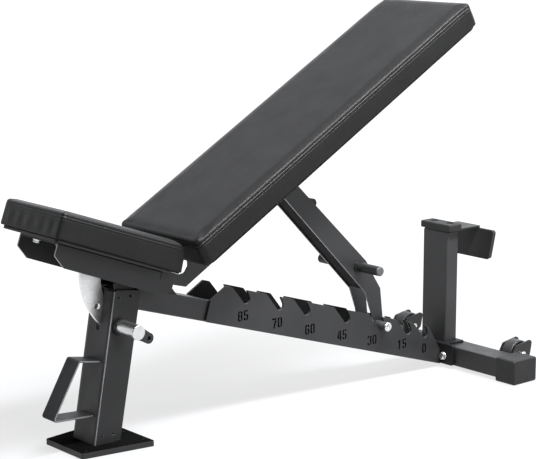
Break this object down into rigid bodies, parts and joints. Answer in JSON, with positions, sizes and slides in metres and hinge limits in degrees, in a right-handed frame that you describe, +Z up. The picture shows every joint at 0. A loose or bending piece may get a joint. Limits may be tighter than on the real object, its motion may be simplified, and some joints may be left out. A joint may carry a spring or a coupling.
{
  "type": "adjustable weight bench",
  "caption": "Adjustable weight bench: tilting seat, hinged back pad held by a strut in a notched ladder, slotted front post, rear stabilizer, transport wheels and upright storage plate.",
  "frame": {"origin": "middle of the foot plate's underside, on the floor and in the centre plane", "axes": "+X from the front foot towards the rear stabilizer, +Y across the bench away from the lock knob, +Z up"},
  "size_m": [1.3917, 0.6, 0.9582],
  "materials": {
    "black_coat": "satin black powder coat",
    "pad_cover": "matt black coated upholstery over foam",
    "board": "black board under the cushion",
    "rubber": "moulded black rubber",
    "zinc": "zinc plated steel",
    "bright_steel": "plated steel plate",
    "bright_knob": "satin plated steel",
    "dark_steel": "blackened steel",
    "olive_spacer": "dull bearing plastic",
    "grey_plug": "dark grey moulded plug",
    "wheel_plastic": "hard black moulded wheel"
  },
  "bodies": {
    "frame": {"foot_plate": "black_coat", "post_channel": "black_coat", "post_side_plate_near": "black_coat", "post_side_plate_far": "black_coat", "post_top_plate": "black_coat", "front_handle": "black_coat", "spine_tube": "black_coat", "ladder_plate_near": "black_coat", "ladder_plate_far": "black_coat", "rear_bracket": "black_coat", "stabilizer_tube": "black_coat", "frame_bolts": "zinc", "frame_nuts": "zinc", "pillar_tube": "black_coat", "storage_bracket": "black_coat", "storage_pad": "rubber", "pillar_cap": "rubber", "cap_screws": "zinc", "stabilizer_cap_near": "rubber", "stabilizer_cap_far": "rubber", "wheel_ear_near_inner": "black_coat", "wheel_ear_near_outer": "black_coat", "wheel_ear_far_inner": "black_coat", "wheel_ear_far_outer": "black_coat", "wheel_bolts": "zinc", "wheel_nuts": "zinc", "hinge_plate_near": "black_coat", "hinge_plate_far": "black_coat", "hinge_shaft": "dark_steel", "hinge_spacers_inner": "dark_steel", "hinge_spacers_outer": "dark_steel", "lock_collar": "dark_steel"},
    "seat": {"seat_pad": "pad_cover", "seat_board": "board", "seat_base_plate": "black_coat", "seat_channel": "black_coat", "sector_plate": "bright_steel", "seat_bolts": "zinc"},
    "back": {"back_pad": "pad_cover", "back_board": "board", "back_frame": "black_coat", "back_bolts": "zinc", "strut_shaft": "dark_steel", "strut_spacers": "dark_steel"},
    "strut": {"strut_channel": "black_coat", "strut_handle_bar": "black_coat", "strut_handle_plugs": "grey_plug", "strut_handle_collars": "dark_steel", "strut_pin": "zinc", "strut_pin_heads": "zinc", "strut_rollers": "olive_spacer", "strut_bumper": "rubber"},
    "lock": {"lock_pin": "zinc", "lock_knob": "bright_knob", "lock_arm": "black_coat"},
    "wheel_n": {"wheel_near": "wheel_plastic"},
    "wheel_f": {"wheel_far": "wheel_plastic"}
  },
  "joints": [
    {"name": "seat_tilt", "type": "hinge", "parent": "frame", "child": "seat", "pos_m": [0.142, 0, 0.381], "axis": [0, -1, 0], "range_deg": [0, 20.2]},
    {"name": "back_tilt", "type": "hinge", "parent": "frame", "child": "back", "pos_m": [0.142, 0, 0.381], "axis": [0, -1, 0], "range_deg": [0, 15]},
    {"name": "strut_swing", "type": "hinge", "parent": "back", "child": "strut", "pos_m": [0.5185, 0, 0.55449], "axis": [0, -1, 0], "range_deg": [-17, 0]},
    {"name": "lock_slide", "type": "slide", "parent": "frame", "child": "lock", "axis": [0, -1, 0], "range_m": [-0.009, 0.006]},
    {"name": "wheel_near_spin", "type": "hinge", "parent": "frame", "child": "wheel_n", "pos_m": [1.185, -0.1985, 0.046], "axis": [0, 1, 0], "continuous": true},
    {"name": "wheel_far_spin", "type": "hinge", "parent": "frame", "child": "wheel_f", "pos_m": [1.185, 0.1985, 0.046], "axis": [0, 1, 0], "continuous": true}
  ],
  "couplings": [
    {"joint": "strut_swing", "follows": "back_tilt", "ratio": -1.07}
  ]
}
